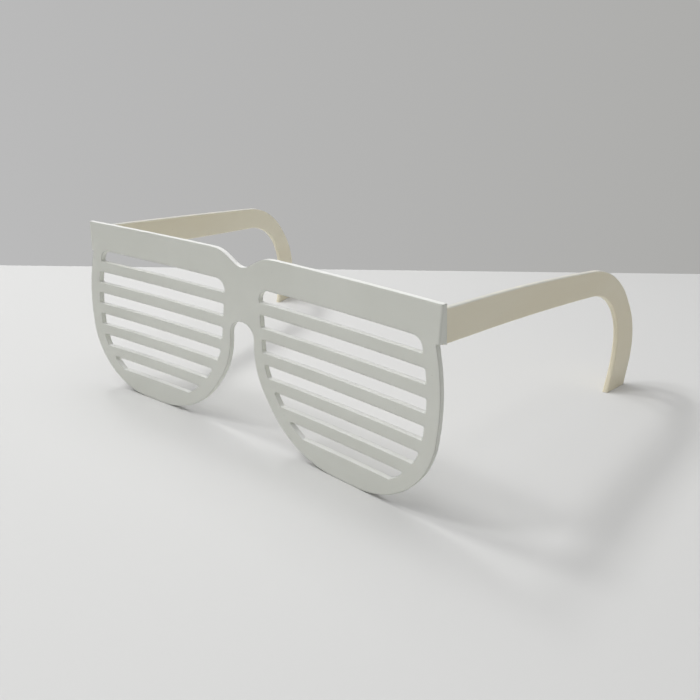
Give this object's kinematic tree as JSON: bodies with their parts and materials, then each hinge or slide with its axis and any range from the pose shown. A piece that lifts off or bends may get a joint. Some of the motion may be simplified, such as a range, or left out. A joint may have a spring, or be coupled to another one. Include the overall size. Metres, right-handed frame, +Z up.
{
  "type": "slatted novelty glasses",
  "caption": "Novelty glasses with a one-piece front of open level slats in place of lenses, and two flat folding temples with curved ear hooks on pinned hinges.",
  "frame": {"origin": "on the table the glasses stand on, under the middle of the open glasses' box", "axes": "+Z up, -Y the way the wearer looks, +Y back along the temples, +X the wearer's left"},
  "size_m": [0.1776, 0.1266, 0.0625],
  "materials": {
    "front_plastic": "moulded white plastic, satin gloss",
    "temple_plastic": "moulded ivory plastic, satin gloss",
    "pin_steel": "plain drawn steel pin"
  },
  "bodies": {
    "front": {"front_frame": "front_plastic", "hinge_pin_left": "pin_steel", "hinge_pin_right": "pin_steel"},
    "left_arm": {"temple_left": "temple_plastic"},
    "right_arm": {"temple_right": "temple_plastic"}
  },
  "joints": [
    {"name": "left_hinge", "type": "hinge", "parent": "front", "child": "left_arm", "pos_m": [0.069, -0.05656, 0.05634], "axis": [0, 0.0523, 0.9986], "range_deg": [0, 94]},
    {"name": "right_hinge", "type": "hinge", "parent": "front", "child": "right_arm", "pos_m": [-0.069, -0.05656, 0.05634], "axis": [0, -0.0523, -0.9986], "range_deg": [0, 80]}
  ]
}
